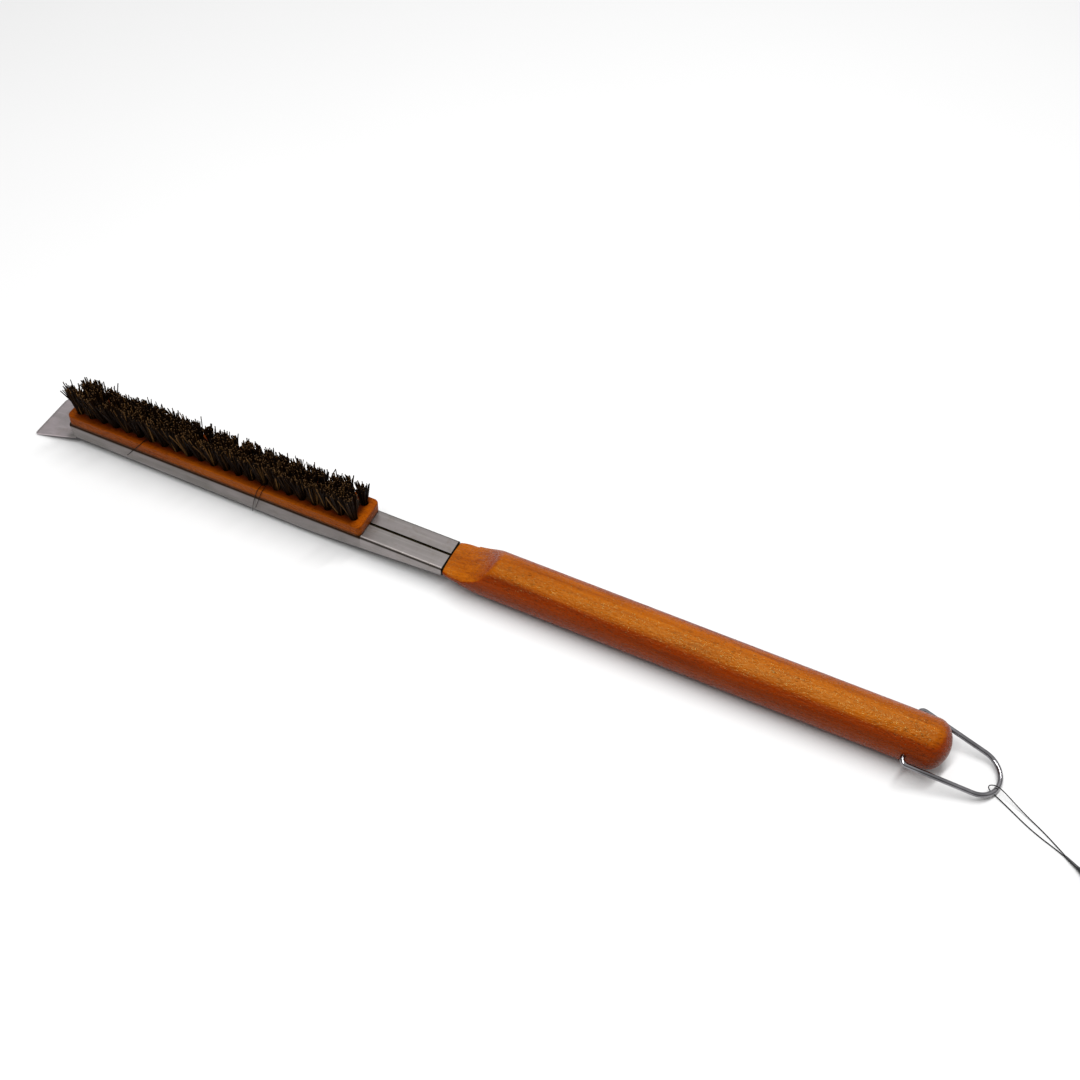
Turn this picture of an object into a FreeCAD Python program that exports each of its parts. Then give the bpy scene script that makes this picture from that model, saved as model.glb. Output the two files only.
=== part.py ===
import FreeCAD, Part

import math
import os

import Sketcher

# A long-handled grill cleaning brush, lying with its bristles up.
# +X runs from the scraper to the hanging loop, +Y across the tool and +Z up.
# The origin is on the resting surface, under the middle of the tool.
# The scraper's edge, the round handle and the tag string under the loop rest on z = 0.

doc = FreeCAD.newDocument("grill_brush")

# ---------------------------------------------------------------- driving dimensions

DIMENSIONS = [
    ("overall_length", 637.0, "scraper edge to the outside of the hanging loop"),
    ("steel_reach", 295.0, "wood joint to the scraper's edge"),
    ("side_reach", 268.0, "wood joint to the front of the folded sides"),
    ("side_rake", 3.0, "how far the front of a side slopes back to its foot"),
    ("steel_width", 25.2, "outside width of the folded channel"),
    ("sheet_thickness", 1.0, "stainless sheet"),
    ("fold_radius", 2.0, "outside radius of the long folds"),
    ("slit_width", 1.5, "gap where the two top flanges meet"),
    ("joint_gap", 0.4, "end of the channel to the handle's shoulder"),
    ("top_rise", 2.2, "top of the channel above the handle's axis"),
    ("joint_drop", 4.8, "underside of the channel below the axis, at the wood"),
    ("deep_drop", 12.0, "underside below the axis at its lowest bend"),
    ("deep_back", 92.0, "wood joint to the lowest bend"),
    ("front_drop", 9.6, "underside below the axis at the scraper's bend"),
    ("belly_radius", 160.0, "rounding of the lowest bend"),
    ("blade_width", 35.6, "width of the scraper's edge"),
    ("blade_corner", 2.2, "radius of the scraper's corners"),
    ("bevel_run", 2.2, "ground bevel along the scraper's edge"),
    ("bevel_drop", 0.6, "depth of the ground bevel"),
    ("handle_diameter", 30.0, "round beech handle"),
    ("handle_length", 309.6, "wood joint to the end of the dome"),
    ("dome_rim_radius", 10.0, "rim of the domed end"),
    ("dome_crown_radius", 18.8, "crown of the domed end"),
    ("scoop_radius", 32.5, "drum that shapes the flats at the steel"),
    ("scoop_flat", 5.0, "level start of each flat"),
    ("nose_length", 12.0, "stretch where the handle narrows to the steel"),
    ("tenon_length", 60.0, "tongue of the handle inside the channel"),
    ("tenon_gap", 0.1, "clearance of the tongue in the channel"),
    ("block_front", 267.7, "wood joint to the front of the brush block"),
    ("block_length", 212.2, "brush block"),
    ("block_width", 25.6, "brush block"),
    ("block_height", 8.8, "brush block"),
    ("block_corner", 3.4, "plan corners of the block"),
    ("block_softness", 1.3, "rounding of the block's upper edge"),
    ("block_foot", 0.6, "rounding of the block's lower edge"),
    ("tuft_pitch", 9.0, "tuft to tuft along a row"),
    ("row_spacing", 6.6, "row to row"),
    ("tuft_hole_radius", 2.5, "drilled hole of a tuft"),
    ("tuft_hole_depth", 6.2, "drilled hole of a tuft"),
    ("tuft_gap", 0.1, "root of a tuft to the wall of its hole"),
    ("tuft_tip_radius", 3.3, "a tuft opens to this at its tips"),
    ("bristle_length", 22.0, "free length above the block"),
    ("lean_front", 18.0, "degrees that the front tufts lean forward"),
    ("lean_rear", 9.0, "degrees that the rear tufts lean forward"),
    ("row_splay", 3.0, "degrees that the outer rows lean outwards"),
    ("staple_span", 4.6, "anchor across a tuft's hole"),
    ("staple_rise", 1.4, "anchor's height"),
    ("staple_wire", 0.5, "anchor's thickness"),
    ("screw_head_radius", 3.1, "pan head"),
    ("screw_head_height", 2.0, "pan head"),
    ("screw_shank_radius", 1.6, "wood screw"),
    ("screw_gap", 0.05, "screw to the wall of its pilot hole"),
    ("screw_reach", 7.6, "block screw under its head"),
    ("tenon_screw_reach", 4.6, "tongue screw under its head"),
    ("tenon_screw_front", 42.0, "wood joint to the front tongue screw"),
    ("tenon_screw_rear", 14.0, "wood joint to the rear tongue screw"),
    ("washer_radius", 4.6, "washer under a block screw"),
    ("washer_thickness", 0.8, "washer under a block screw"),
    ("driver_hole_radius", 4.0, "holes that let a screwdriver reach the block screws"),
    ("flange_hole_radius", 1.9, "holes in the top flanges"),
    ("wire_radius", 1.5, "hanging loop"),
    ("wire_fit", 0.07, "clearance of the loop in the handle"),
    ("loop_reach", 55.1, "hinge to the middle of the wire at the bow"),
    ("loop_drop", 12.4, "middle of the wire at the bow, below the hinge"),
    ("bow_radius", 14.5, "middle of the wire round the bow"),
    ("leg_angle", 7.6, "degrees that each leg closes towards the bow"),
    ("knee_radius", 3.2, "bend from a leg into the handle"),
    ("wire_insert", 8.0, "length of wire in the handle on each side"),
    ("hinge_back", 286.8, "wood joint to the loop's hinge"),
    ("string_radius", 0.3, "tag string"),
    ("lock_tip_radius", 0.7, "narrow end of the string's lock"),
    ("lock_radius", 2.0, "wide end of the string's lock"),
    ("lock_taper", 14.0, "tapered part of the lock"),
    ("lock_barrel", 9.0, "barrel of the lock"),
]

sheet = doc.addObject("Spreadsheet::Sheet", "Sizes")
for line, (alias, size, meaning) in enumerate(DIMENSIONS, start=1):
    sheet.set("A%d" % line, meaning)
    sheet.set("B%d" % line, str(size))
    sheet.setAlias("B%d" % line, alias)
doc.recompute()


def number(text):
    """Value of an expression on the sheet's cells, such as '-Sizes.overall_length / 2'."""
    found = sheet.evalExpression(text)
    return float(getattr(found, "Value", found))


def size(alias):
    return number("Sizes." + alias)


# Places that several pieces share, as expressions on the cells.
TIP_X = "-Sizes.overall_length / 2"
JOINT_X = "(Sizes.steel_reach - Sizes.overall_length / 2)"
AXIS_Z = "Sizes.handle_diameter / 2"
SIDE_X = JOINT_X + " - Sizes.side_reach"
ROOT_X = SIDE_X + " + Sizes.side_rake"
DEEP_X = JOINT_X + " - Sizes.deep_back"
TOP_Z = AXIS_Z + " + Sizes.top_rise"
JOINT_Z = AXIS_Z + " - Sizes.joint_drop"
SLOPE = "(Sizes.deep_drop - Sizes.joint_drop) / Sizes.deep_back"
STEEL_X = JOINT_X + " - Sizes.joint_gap"
STEEL_Z = JOINT_Z + " - Sizes.joint_gap * " + SLOPE
DEEP_Z = AXIS_Z + " - Sizes.deep_drop"
FRONT_Z = AXIS_Z + " - Sizes.front_drop"
HINGE_X = JOINT_X + " + Sizes.hinge_back"
BLOCK_X = JOINT_X + " - Sizes.block_front + Sizes.block_length / 2"
BLOCK_TOP = TOP_Z + " + Sizes.block_height"

# The middle row leaves out a tuft at each screw of the block.
LONG_ROW = 23
SHORT_ROW = LONG_ROW - 1
SCREW_PLACES = {"front": 2, "middle": 10, "rear": 19}

# ---------------------------------------------------------------- drawing helpers


def new_body(name):
    body = doc.addObject("PartDesign::Body", name)
    body.Label = name
    return body


def sketch_on(body, role, name, shift=None, tilt=None):
    """An empty sketch on one of the body's origin planes.

    shift moves the plane along its own normal, tilt is (along, angle): a place along the
    plane's first axis and a turn about its second, all as expressions.
    """
    plane = [item for item in body.Origin.OriginFeatures if item.Role == role][0]
    sketch = body.newObject("Sketcher::SketchObject", name)
    sketch.AttachmentSupport = [(plane, "")]
    sketch.MapMode = "FlatFace"
    if shift:
        sketch.setExpression("AttachmentOffset.Base.z", shift)
    if tilt:
        sketch.AttachmentOffset = FreeCAD.Placement(
            FreeCAD.Vector(), FreeCAD.Rotation(FreeCAD.Vector(0, 1, 0), number(tilt[1]))
        )
        sketch.setExpression("AttachmentOffset.Base.x", tilt[0])
    return sketch


def pin_point(sketch, shape, end, across, up):
    """Ties one point of a sketch to expressions for its two coordinates."""
    for kind, text in (("DistanceX", across), ("DistanceY", up)):
        row = sketch.addConstraint(Sketcher.Constraint(kind, -1, 1, shape, end, number(text)))
        sketch.setExpression("Constraints[%d]" % row, text)


def bind(sketch, constraint, text):
    row = sketch.addConstraint(constraint)
    sketch.setExpression("Constraints[%d]" % row, text)


def draw_polygon(sketch, corners):
    """A closed outline of straight lines through corners given as expressions.

    A corner with a third expression is rounded to that radius.
    """
    spots = [FreeCAD.Vector(number(corner[0]), number(corner[1]), 0) for corner in corners]
    count = len(spots)
    tie = sketch.addConstraint
    rounds = {}
    for place, corner in enumerate(corners):
        if len(corner) == 3:
            way_in = (spots[place - 1] - spots[place]).normalize()
            way_out = (spots[(place + 1) % count] - spots[place]).normalize()
            half = way_in.getAngle(way_out) / 2
            radius = number(corner[2])
            middle = (way_in + way_out).normalize()
            rounds[place] = (
                spots[place] + way_in * (radius / math.tan(half)),
                spots[place] + middle * (radius / math.sin(half) - radius),
                spots[place] + way_out * (radius / math.tan(half)),
            )
    for place in range(count):
        follower = (place + 1) % count
        begin = rounds[place][2] if place in rounds else spots[place]
        finish = rounds[follower][0] if follower in rounds else spots[follower]
        sketch.addGeometry(Part.LineSegment(begin, finish), False)
    for place, corner in enumerate(corners):
        before = (place - 1) % count
        if place not in rounds:
            tie(Sketcher.Constraint("Coincident", before, 2, place, 1))
            pin_point(sketch, place, 1, corner[0], corner[1])
            continue
        arc = sketch.addGeometry(Part.Arc(*rounds[place]), False)
        first = 1 if sketch.getPoint(arc, 1).isEqual(rounds[place][0], 1e-6) else 2
        tie(Sketcher.Constraint("Tangent", before, 2, arc, first))
        tie(Sketcher.Constraint("Tangent", arc, 3 - first, place, 1))
        bind(sketch, Sketcher.Constraint("Radius", arc, number(corner[2])), corner[2])
        mark = sketch.addGeometry(Part.Point(spots[place]), True)
        tie(Sketcher.Constraint("PointOnObject", mark, 1, before))
        tie(Sketcher.Constraint("PointOnObject", mark, 1, place))
        pin_point(sketch, mark, 1, corner[0], corner[1])


def draw_circles(sketch, centres, radius):
    """Circles of one radius round centres given as expressions."""
    for across, up in centres:
        spot = FreeCAD.Vector(number(across), number(up), 0)
        ring = Part.Circle(spot, FreeCAD.Vector(0, 0, 1), number(radius))
        place = sketch.addGeometry(ring, False)
        bind(sketch, Sketcher.Constraint("Radius", place, number(radius)), radius)
        pin_point(sketch, place, 3, across, up)


def arc_between(start, through, finish):
    points = [FreeCAD.Vector(across, up, 0) for across, up in (start, through, finish)]
    return Part.Arc(points[0], points[1], points[2])


def pad(body, sketch, length, name, symmetric=False, backwards=False):
    made = body.newObject("PartDesign::Pad", name)
    made.Profile = sketch
    made.setExpression("Length", length)
    made.SideType = "Symmetric" if symmetric else "One side"
    made.Reversed = backwards
    doc.recompute()
    return made


def pocket(body, sketch, name, length=None, symmetric=False, backwards=False):
    """Cuts the sketch through the body, or to a length, and checks that it took something."""
    before = body.Shape.Volume
    made = body.newObject("PartDesign::Pocket", name)
    made.Profile = sketch
    made.SideType = "Symmetric" if symmetric else "One side"
    made.Reversed = backwards
    if length:
        made.setExpression("Length", length)
    else:
        made.Type = "ThroughAll"
    doc.recompute()
    if body.Shape.Volume > before - 1e-3:
        raise ValueError(name + " cuts nothing")
    return made


def named_edges(shape, wanted):
    return ["Edge%d" % (place + 1) for place, edge in enumerate(shape.Edges) if wanted(edge)]


def fillet(body, base, wanted, radius, name):
    made = body.newObject("PartDesign::Fillet", name)
    made.Base = (base, named_edges(base.Shape, wanted))
    made.setExpression("Radius", radius)
    doc.recompute()
    return made


def middle_of(edge):
    return edge.valueAt((edge.FirstParameter + edge.LastParameter) / 2)


def place_body(item, along=None, across=None, up=None):
    for axis, text in (("x", along), ("y", across), ("z", up)):
        if text:
            item.setExpression("Placement.Base." + axis, text)


# ---------------------------------------------------------------- folded steel channel


def make_scraper_channel():
    """One sheet: floor, two sides and two top flanges, drawn out into a flared scraper."""
    body = new_body("scraper_channel")
    half = size("steel_width") / 2
    outline = sketch_on(body, "XZ_Plane", "channel_outline")
    draw_polygon(outline, [
        (SIDE_X, TOP_Z),
        (ROOT_X, FRONT_Z),
        (DEEP_X, DEEP_Z, "Sizes.belly_radius"),
        (STEEL_X, STEEL_Z),
        (STEEL_X, TOP_Z),
    ])
    solid = pad(body, outline, "Sizes.steel_width", "channel_block", symmetric=True)

    def is_fold(edge):
        spot = middle_of(edge)
        box = edge.BoundBox
        return abs(abs(spot.y) - half) < 0.1 and box.XLength > 12
    folds = fillet(body, solid, is_fold, "Sizes.fold_radius", "folds")

    hollow = body.newObject("PartDesign::Thickness", "sheet_walls")
    open_ends = []
    for place, face in enumerate(folds.Shape.Faces):
        normal = face.normalAt(0, 0)
        if abs(normal.x) > 0.9:
            open_ends.append("Face%d" % (place + 1))
    hollow.Base = (folds, open_ends)
    hollow.setExpression("Value", "Sizes.sheet_thickness")
    hollow.Reversed = True
    hollow.Mode = "Skin"
    hollow.Join = "Intersection"
    doc.recompute()

    slit = sketch_on(body, "XZ_Plane", "slit_outline")
    draw_polygon(slit, [
        (SIDE_X + " - 1", TOP_Z + " - 2 * Sizes.sheet_thickness"),
        (JOINT_X + " + 1", TOP_Z + " - 2 * Sizes.sheet_thickness"),
        (JOINT_X + " + 1", TOP_Z + " + 1"),
        (SIDE_X + " - 1", TOP_Z + " + 1"),
    ])
    pocket(body, slit, "slit", length="Sizes.slit_width", symmetric=True)

    blade = sketch_on(body, "XZ_Plane", "blade_outline")
    draw_polygon(blade, [
        (TIP_X, "0"),
        (ROOT_X, FRONT_Z),
        (ROOT_X, FRONT_Z + " + Sizes.sheet_thickness"),
        (TIP_X + " + Sizes.bevel_run", "Sizes.sheet_thickness + Sizes.bevel_run * ("
         + FRONT_Z + ") / (Sizes.steel_reach - Sizes.side_reach + Sizes.side_rake)"),
        (TIP_X, "Sizes.sheet_thickness - Sizes.bevel_drop"),
    ])
    pad(body, blade, "Sizes.blade_width", "blade", symmetric=True)

    for side, sign in (("left", "-1 * "), ("right", "")):
        flare = sketch_on(body, "XY_Plane", "flare_" + side)
        inner, edge = sign + "Sizes.steel_width / 2", sign + "Sizes.blade_width / 2"
        draw_polygon(flare, [
            (ROOT_X, inner),
            (TIP_X, edge, "Sizes.blade_corner"),
            (TIP_X, inner),
            (TIP_X + " - 2", inner),
            (TIP_X + " - 2", edge + " * 1.2"),
            (ROOT_X, edge + " * 1.2"),
        ])
        pocket(body, flare, "flare_cut_" + side, backwards=True)

    below = sketch_on(body, "XY_Plane", "driver_holes")
    centres = [(screw_x(place), "0") for place in SCREW_PLACES.values()]
    draw_circles(below, centres, "Sizes.driver_hole_radius")
    pocket(body, below, "driver_hole_cut", length="Sizes.handle_diameter / 3", backwards=True)

    above = sketch_on(body, "XY_Plane", "flange_holes", shift=TOP_Z)
    draw_circles(above, centres, "Sizes.flange_hole_radius")
    pocket(body, above, "flange_hole_cut", length="2 * Sizes.sheet_thickness")

    for name, back in (("front", "tenon_screw_front"), ("rear", "tenon_screw_rear")):
        hole = sketch_on(body, "XY_Plane", "tongue_hole_" + name,
                         tilt=(tongue_screw_x(back), tilt_angle()))
        draw_circles(hole, [("0", "0")], "Sizes.screw_shank_radius + 2 * Sizes.screw_gap")
        pocket(body, hole, "tongue_hole_cut_" + name, length=TOP_Z + " - 3", backwards=True)
    return body


def screw_x(place):
    """Middle of a place in the middle row."""
    return "%s + %s * Sizes.tuft_pitch" % (BLOCK_X, place - (SHORT_ROW - 1) / 2)


def tilt_angle():
    """The channel's floor rises towards the wood; its screws stand square to it."""
    return "-1 * atan(" + SLOPE + ")"


def tongue_screw_x(back):
    """Where a tongue screw's tilted line crosses z = 0."""
    floor = "(" + JOINT_Z + " - Sizes." + back + " * " + SLOPE + ")"
    return JOINT_X + " - Sizes." + back + " + " + floor + " * " + SLOPE


# ---------------------------------------------------------------- wooden handle


def make_handle():
    """A turned dowel with a domed end, shaped flats at the steel and a tongue inside it."""
    body = new_body("handle")
    joint, axis = number(JOINT_X), number(AXIS_Z)
    radius = size("handle_diameter") / 2
    rim, crown = size("dome_rim_radius"), size("dome_crown_radius")
    end = joint + size("handle_length")
    crown_x = end - crown
    rim_z = axis + radius - rim
    rim_x = crown_x + math.sqrt((crown - rim) ** 2 - (rim_z - axis) ** 2)
    reach = math.hypot(rim_x - crown_x, rim_z - axis)
    meet = (crown_x + (rim_x - crown_x) * crown / reach, axis + (rim_z - axis) * crown / reach)
    half_turn = math.atan2(meet[1] - rim_z, meet[0] - rim_x)
    rim_turn = (half_turn + math.pi / 2) / 2
    crown_turn = math.atan2(meet[1] - axis, meet[0] - crown_x) / 2
    on_rim = (rim_x + rim * math.cos(rim_turn), rim_z + rim * math.sin(rim_turn))
    on_crown = (crown_x + crown * math.cos(crown_turn), axis + crown * math.sin(crown_turn))

    profile = sketch_on(body, "XZ_Plane", "dowel_profile")
    corners = [(end, axis), (joint, axis), (joint, axis + radius), (rim_x, axis + radius)]
    spots = [FreeCAD.Vector(across, up, 0) for across, up in corners]
    for first, second in zip(spots, spots[1:]):
        profile.addGeometry(Part.LineSegment(first, second), False)
    profile.addGeometry(arc_between(corners[3], on_rim, meet), False)
    profile.addGeometry(arc_between(meet, on_crown, corners[0]), False)
    tie = profile.addConstraint
    tie(Sketcher.Constraint("Coincident", 0, 2, 1, 1))
    tie(Sketcher.Constraint("Coincident", 1, 2, 2, 1))
    tie(Sketcher.Constraint("Horizontal", 2))
    tie(Sketcher.Constraint("Tangent", 2, 2, 3, 2))
    tie(Sketcher.Constraint("Tangent", 3, 1, 4, 2))
    tie(Sketcher.Constraint("Coincident", 4, 1, 0, 1))
    bind(profile, Sketcher.Constraint("Radius", 3, rim), "Sizes.dome_rim_radius")
    bind(profile, Sketcher.Constraint("Radius", 4, crown), "Sizes.dome_crown_radius")
    tie(Sketcher.Constraint("PointOnObject", 4, 3, 0))
    pin_point(profile, 0, 1, JOINT_X + " + Sizes.handle_length", AXIS_Z)
    pin_point(profile, 1, 1, JOINT_X, AXIS_Z)
    pin_point(profile, 1, 2, JOINT_X, AXIS_Z + " + Sizes.handle_diameter / 2")
    turned = body.newObject("PartDesign::Revolution", "dowel")
    turned.Profile = profile
    turned.ReferenceAxis = (profile, ["Edge1"])
    turned.Angle = 360
    doc.recompute()

    for name, face, sign in (("top", TOP_Z, 1), ("bottom", JOINT_Z, -1)):
        scoop = sketch_on(body, "XZ_Plane", "scoop_" + name)
        draw_scoop(scoop, face, sign)
        pocket(body, scoop, "scoop_cut_" + name, symmetric=True)
    for name, sign in (("left", -1), ("right", 1)):
        nose = sketch_on(body, "XY_Plane", "nose_" + name)
        draw_nose(nose, sign)
        pocket(body, nose, "nose_cut_" + name, backwards=True)

    tongue = sketch_on(body, "YZ_Plane", "tongue_outline", shift=JOINT_X)
    inset = "(Sizes.sheet_thickness + Sizes.tenon_gap)"
    edge = "Sizes.steel_width / 2 - " + inset
    rounding = "Sizes.fold_radius * 0.6"
    draw_polygon(tongue, [
        ("-1 * (" + edge + ")", TOP_Z + " - " + inset, rounding),
        ("-1 * (" + edge + ")", JOINT_Z + " + " + inset, rounding),
        (edge, JOINT_Z + " + " + inset, rounding),
        (edge, TOP_Z + " - " + inset, rounding),
    ])
    pad(body, tongue, "Sizes.tenon_length", "tongue", backwards=True)

    pivot = sketch_on(body, "XZ_Plane", "pivot_outline")
    draw_circles(pivot, [(HINGE_X, AXIS_Z)], "Sizes.wire_radius + Sizes.wire_fit")
    pocket(body, pivot, "pivot_hole", symmetric=True)

    for name, back in (("front", "tenon_screw_front"), ("rear", "tenon_screw_rear")):
        hole = sketch_on(body, "XY_Plane", "pilot_" + name,
                         tilt=(tongue_screw_x(back), tilt_angle()))
        draw_circles(hole, [("0", "0")], "Sizes.screw_shank_radius + Sizes.screw_gap")
        pocket(body, hole, "pilot_cut_" + name, backwards=True,
               length=TOP_Z + " - 2 * Sizes.sheet_thickness")
    return body


def draw_scoop(sketch, face, sign):
    """The flat at the steel: level at first, then rising on the drum's arc."""
    level, drum = number(face), size("scoop_radius")
    flat_x = number(JOINT_X) + size("scoop_flat")
    top = number(AXIS_Z) + sign * (size("handle_diameter") / 2 + 2)
    rise = abs(top - level)
    run = math.sqrt(drum ** 2 - (drum - rise) ** 2)
    half_turn = math.asin(run / drum) / 2
    through = (flat_x + drum * math.sin(half_turn),
               level + sign * drum * (1 - math.cos(half_turn)))
    start = number(JOINT_X) - 1
    corners = [(start, top), (start, level), (flat_x, level)]
    spots = [FreeCAD.Vector(across, up, 0) for across, up in corners]
    ending = FreeCAD.Vector(flat_x + run, top, 0)
    sketch.addGeometry(Part.LineSegment(spots[0], spots[1]), False)
    sketch.addGeometry(Part.LineSegment(spots[1], spots[2]), False)
    sketch.addGeometry(arc_between(corners[2], through, (ending.x, top)), False)
    sketch.addGeometry(Part.LineSegment(ending, spots[0]), False)
    low, high = (1, 2) if sign > 0 else (2, 1)
    tie = sketch.addConstraint
    tie(Sketcher.Constraint("Coincident", 0, 2, 1, 1))
    tie(Sketcher.Constraint("Tangent", 1, 2, 2, low))
    tie(Sketcher.Constraint("Coincident", 2, high, 3, 1))
    tie(Sketcher.Constraint("Coincident", 3, 2, 0, 1))
    tie(Sketcher.Constraint("Horizontal", 3))
    bind(sketch, Sketcher.Constraint("Radius", 2, drum), "Sizes.scoop_radius")
    outside = " + (Sizes.handle_diameter / 2 + 2) * %d" % sign
    pin_point(sketch, 0, 1, JOINT_X + " - 1", AXIS_Z + outside)
    pin_point(sketch, 0, 2, JOINT_X + " - 1", face)
    pin_point(sketch, 1, 2, JOINT_X + " + Sizes.scoop_flat", face)


def draw_nose(sketch, sign):
    """Seen from above, each side of the handle runs in to the width of the steel."""
    joint = number(JOINT_X)
    inner = sign * size("steel_width") / 2
    outer = sign * size("handle_diameter") / 2
    run, rise = size("nose_length"), abs(outer - inner)
    bend = (run ** 2 + rise ** 2) / (2 * rise)
    half_turn = math.asin(run / bend) / 2
    through = (joint + run - bend * math.sin(half_turn),
               outer - sign * bend * (1 - math.cos(half_turn)))
    corners = [(joint + run, outer), (joint + run, 1.2 * outer), (joint, 1.2 * outer),
               (joint, inner)]
    spots = [FreeCAD.Vector(across, up, 0) for across, up in corners]
    for first, second in zip(spots, spots[1:]):
        sketch.addGeometry(Part.LineSegment(first, second), False)
    sketch.addGeometry(arc_between(corners[3], through, corners[0]), False)
    tie = sketch.addConstraint
    tie(Sketcher.Constraint("Coincident", 0, 2, 1, 1))
    tie(Sketcher.Constraint("Coincident", 1, 2, 2, 1))
    first, last = (2, 1) if sign > 0 else (1, 2)
    tie(Sketcher.Constraint("Coincident", 2, 2, 3, first))
    tie(Sketcher.Constraint("Coincident", 0, 1, 3, last))
    bend_text = ("(Sizes.nose_length ^ 2 + ((Sizes.handle_diameter - Sizes.steel_width) / 2)"
                 " ^ 2) / (Sizes.handle_diameter - Sizes.steel_width)")
    bind(sketch, Sketcher.Constraint("Radius", 3, bend), bend_text)
    side = "%d * " % sign
    pin_point(sketch, 0, 1, JOINT_X + " + Sizes.nose_length", side + "Sizes.handle_diameter / 2")
    pin_point(sketch, 1, 1, JOINT_X + " + Sizes.nose_length", side + "Sizes.handle_diameter * 0.6")
    pin_point(sketch, 2, 1, JOINT_X, side + "Sizes.handle_diameter * 0.6")
    pin_point(sketch, 2, 2, JOINT_X, side + "Sizes.steel_width / 2")


# ---------------------------------------------------------------- brush


def row_places(row):
    """The tufts of a row, as (x, y) expressions, from the front to the rear."""
    across = {"near": "-1 * Sizes.row_spacing", "middle": "0", "far": "Sizes.row_spacing"}[row]
    count = SHORT_ROW if row == "middle" else LONG_ROW
    skipped = SCREW_PLACES.values() if row == "middle" else []
    return [("%s + %s * Sizes.tuft_pitch" % (BLOCK_X, place - (count - 1) / 2), across)
            for place in range(count) if place not in skipped]


def make_brush_block():
    """A wooden bar drilled from above for the tufts and from below for its screws."""
    body = new_body("brush_block")
    outline = sketch_on(body, "XY_Plane", "block_outline", shift=TOP_Z)
    front, rear = (BLOCK_X + " %s Sizes.block_length / 2" % sign for sign in "-+")
    left, right = "-1 * Sizes.block_width / 2", "Sizes.block_width / 2"
    draw_polygon(outline, [(front, left), (rear, left), (rear, right), (front, right)])
    solid = pad(body, outline, "Sizes.block_height", "block_bar")
    rounded = fillet(body, solid, lambda edge: edge.BoundBox.ZLength > 5,
                     "Sizes.block_corner", "block_corners")
    top = number(BLOCK_TOP)
    softened = fillet(body, rounded, lambda edge: edge.BoundBox.ZMin > top - 0.1,
                      "Sizes.block_softness", "block_edge")
    seat = number(TOP_Z)
    fillet(body, softened, lambda edge: edge.BoundBox.ZMax < seat + 0.1,
           "Sizes.block_foot", "block_foot")
    for row in ("near", "middle", "far"):
        holes = sketch_on(body, "XY_Plane", "tuft_holes_" + row, shift=BLOCK_TOP)
        draw_circles(holes, row_places(row), "Sizes.tuft_hole_radius")
        pocket(body, holes, "tuft_hole_cut_" + row, length="Sizes.tuft_hole_depth")
    pilots = sketch_on(body, "XY_Plane", "pilot_holes", shift=TOP_Z)
    centres = [(screw_x(place), "0") for place in SCREW_PLACES.values()]
    draw_circles(pilots, centres, "Sizes.screw_shank_radius + Sizes.screw_gap")
    pocket(body, pilots, "pilot_hole_cut", length="Sizes.screw_reach - 1", backwards=True)
    return body


def lean_at(along):
    """Degrees that a tuft leans forward, less towards the handle."""
    front = number(BLOCK_X) - size("block_length") / 2
    share = (along - front) / size("block_length")
    return size("lean_front") + (size("lean_rear") - size("lean_front")) * share


def make_bristle_row(row):
    """A row of separate tufts: a round root in its hole, opening out and leaning above it."""
    outwards = {"near": -1, "middle": 0, "far": 1}[row]
    root_radius = size("tuft_hole_radius") - size("tuft_gap")
    top = number(BLOCK_TOP)
    root = top - size("tuft_hole_depth") + size("staple_rise")
    tufts = []
    for across, sideways in row_places(row):
        x, y = number(across), number(sideways)
        lean = math.radians(lean_at(x))
        splay = math.radians(size("row_splay")) * outwards
        length = size("bristle_length")
        shift_x = -length * math.sin(lean)
        shift_y = length * math.sin(splay)
        tips_z = top + length * math.cos(lean) * math.cos(splay)
        rings = []
        for spot, radius in (
            (FreeCAD.Vector(x, y, top), root_radius),
            (FreeCAD.Vector(x + shift_x, y + shift_y, tips_z), size("tuft_tip_radius")),
        ):
            rings.append(Part.Wire(Part.makeCircle(radius, spot, FreeCAD.Vector(0, 0, 1))))
        above = Part.makeLoft(rings, True, True)
        below = Part.makeCylinder(root_radius, top - root, FreeCAD.Vector(x, y, root))
        tufts.append(above.fuse(below).removeSplitter())
    item = doc.addObject("Part::Feature", "bristle_row_" + row)
    item.Shape = Part.makeCompound([solid for tuft in tufts for solid in tuft.Solids])
    return item


def make_staple_row(row):
    """The flat wire anchors at the bottoms of a row's holes, one box for each tuft."""
    staples = []
    for place, (along, across) in enumerate(row_places(row)):
        box = doc.addObject("Part::Box", "staple_%s_%d" % (row, place))
        box.setExpression("Length", "Sizes.staple_span")
        box.setExpression("Width", "Sizes.staple_wire")
        box.setExpression("Height", "Sizes.staple_rise")
        place_body(box, along + " - Sizes.staple_span / 2",
                   across + " - Sizes.staple_wire / 2", BLOCK_TOP + " - Sizes.tuft_hole_depth")
        staples.append(box)
    group = doc.addObject("Part::Compound", "staple_row_" + row)
    group.Links = staples
    return group


# ---------------------------------------------------------------- fasteners


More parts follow.
